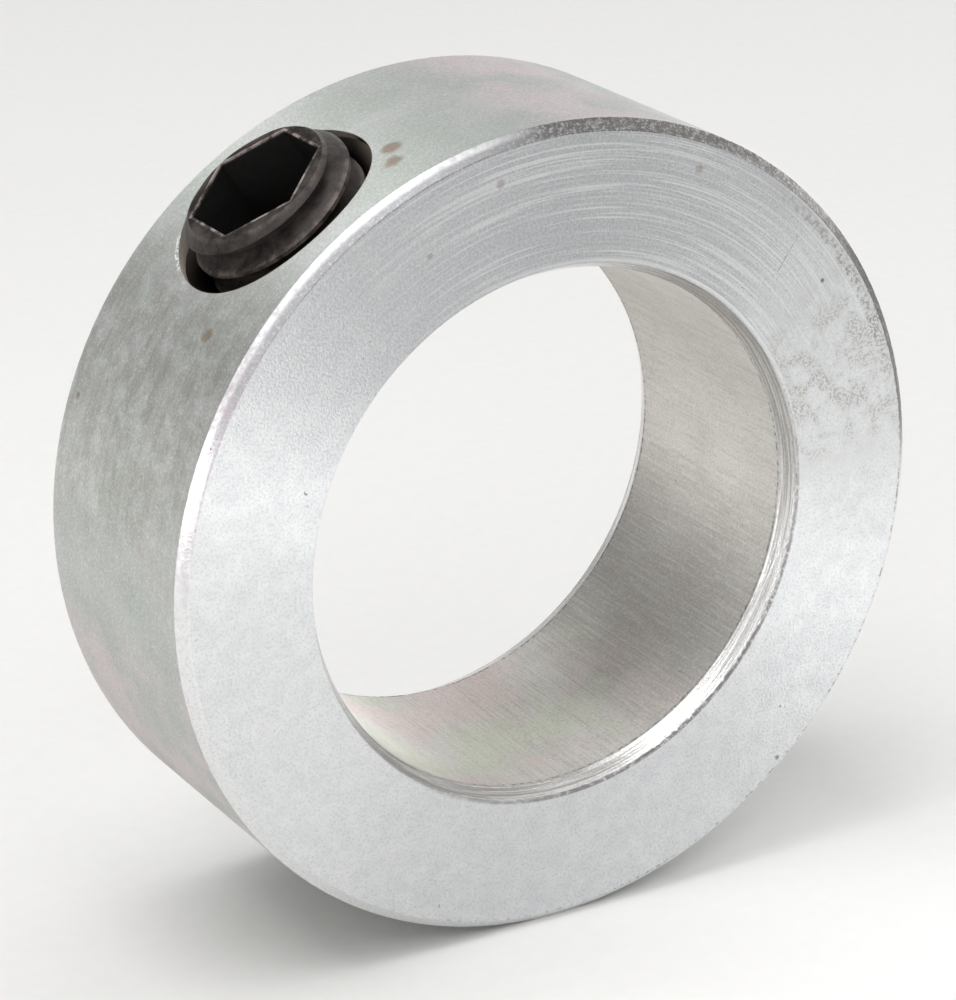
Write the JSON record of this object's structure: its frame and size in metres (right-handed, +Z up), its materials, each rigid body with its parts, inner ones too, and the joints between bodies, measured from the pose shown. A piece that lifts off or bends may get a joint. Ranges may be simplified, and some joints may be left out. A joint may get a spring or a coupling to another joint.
{
  "type": "shaft collar",
  "caption": "Solid one-piece shaft collar: a chamfered steel ring with a plain bore, held on its shaft by one radial socket set screw.",
  "frame": {"origin": "centre of the bore at mid-width", "axes": "+Y along the bore from the front face to the back face, +Z up; the ring stands on its rim and its set screw leans 35.2 degrees from +Z towards -X"},
  "size_m": [0.0444, 0.0154, 0.0444],
  "materials": {
    "zinc_plated_steel": "satin bright zinc plate over turned steel",
    "black_oxide_steel": "matte black oxide"
  },
  "bodies": {
    "collar": {"collar_ring": "zinc_plated_steel"},
    "screw_point": {"set_screw_point": "black_oxide_steel"},
    "screw": {"set_screw": "black_oxide_steel"}
  },
  "joints": [
    {"name": "screw_advance", "type": "slide", "parent": "collar", "child": "screw_point", "axis": [-0.5764, 0, 0.8171], "range_m": [-0.00238, 0.00476]},
    {"name": "screw_turn", "type": "hinge", "parent": "screw_point", "child": "screw", "pos_m": [-0.01153, 0, 0.01634], "axis": [-0.5764, 0, 0.8171], "range_deg": [-540, 1080]}
  ],
  "couplings": [
    {"joint": "screw_turn", "follows": "screw_advance", "rad_per_m": 3957.9}
  ]
}
